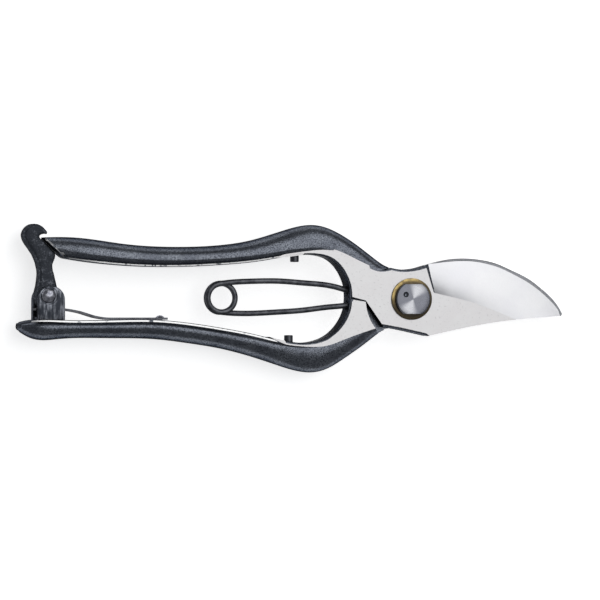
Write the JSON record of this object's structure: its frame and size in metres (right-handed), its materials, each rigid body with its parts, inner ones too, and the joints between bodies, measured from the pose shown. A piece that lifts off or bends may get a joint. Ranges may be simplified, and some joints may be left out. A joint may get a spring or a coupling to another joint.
{
  "type": "bypass secateurs",
  "caption": "Forged bypass secateurs with bolted lap pivot, hairpin spring, hook blade and swinging handle latch.",
  "frame": {"origin": "pivot axis at the flat face of the nut, which is the tool's lowest face", "axes": "+X from the pivot to the blade's tip, +Z along the pivot from the nut to the bolt's head"},
  "size_m": [0.2003, 0.0527, 0.0168],
  "materials": {
    "black_forged": "glossy black enamel over forged steel, worn to bright steel on ground faces",
    "black_latch": "rough black casting",
    "black_spring": "black oxide",
    "bright_steel": "turned and lightly brushed",
    "washer_brass": "plain"
  },
  "bodies": {
    "blade_side": {"blade_arm": "black_forged", "pivot_bolt": "bright_steel", "pivot_nut": "bright_steel", "washer_front": "washer_brass", "washer_back": "washer_brass", "peg_upper": "black_forged"},
    "hook_side": {"hook_arm": "black_forged", "peg_lower": "black_forged", "latch_bracket": "black_latch", "latch_pin": "bright_steel", "leaf_spring": "black_spring", "leaf_rivet": "black_spring"},
    "latch_lever": {"latch": "black_latch"},
    "spring_coil": {"spring_upper": "black_spring"},
    "spring_leg": {"spring_lower": "black_spring"}
  },
  "joints": [
    {"name": "pivot_hinge", "type": "hinge", "parent": "blade_side", "child": "hook_side", "pos_m": [0, 0, 0.0092], "axis": [0, 0, 1], "range_deg": [0, 30]},
    {"name": "latch_hinge", "type": "hinge", "parent": "hook_side", "child": "latch_lever", "pos_m": [-0.133, 0.0012, 0.0092], "axis": [0, 0, 1], "range_deg": [0, 70], "deforming": ["leaf_spring"]},
    {"name": "spring_upper_hinge", "type": "hinge", "parent": "blade_side", "child": "spring_coil", "pos_m": [-0.0224, 0.0031, 0.0092], "axis": [0, 0, 1], "range_deg": [0, 21.6], "deforming": ["spring_upper"]},
    {"name": "spring_lower_hinge", "type": "hinge", "parent": "spring_coil", "child": "spring_leg", "pos_m": [-0.0686, 0.00045, 0.0092], "axis": [0, 0, 1], "range_deg": [-14.5, 0], "deforming": ["spring_lower"]}
  ],
  "couplings": [
    {"joint": "spring_upper_hinge", "follows": "pivot_hinge", "ratio": 0.7108},
    {"joint": "spring_lower_hinge", "follows": "pivot_hinge", "ratio": -0.4748}
  ]
}
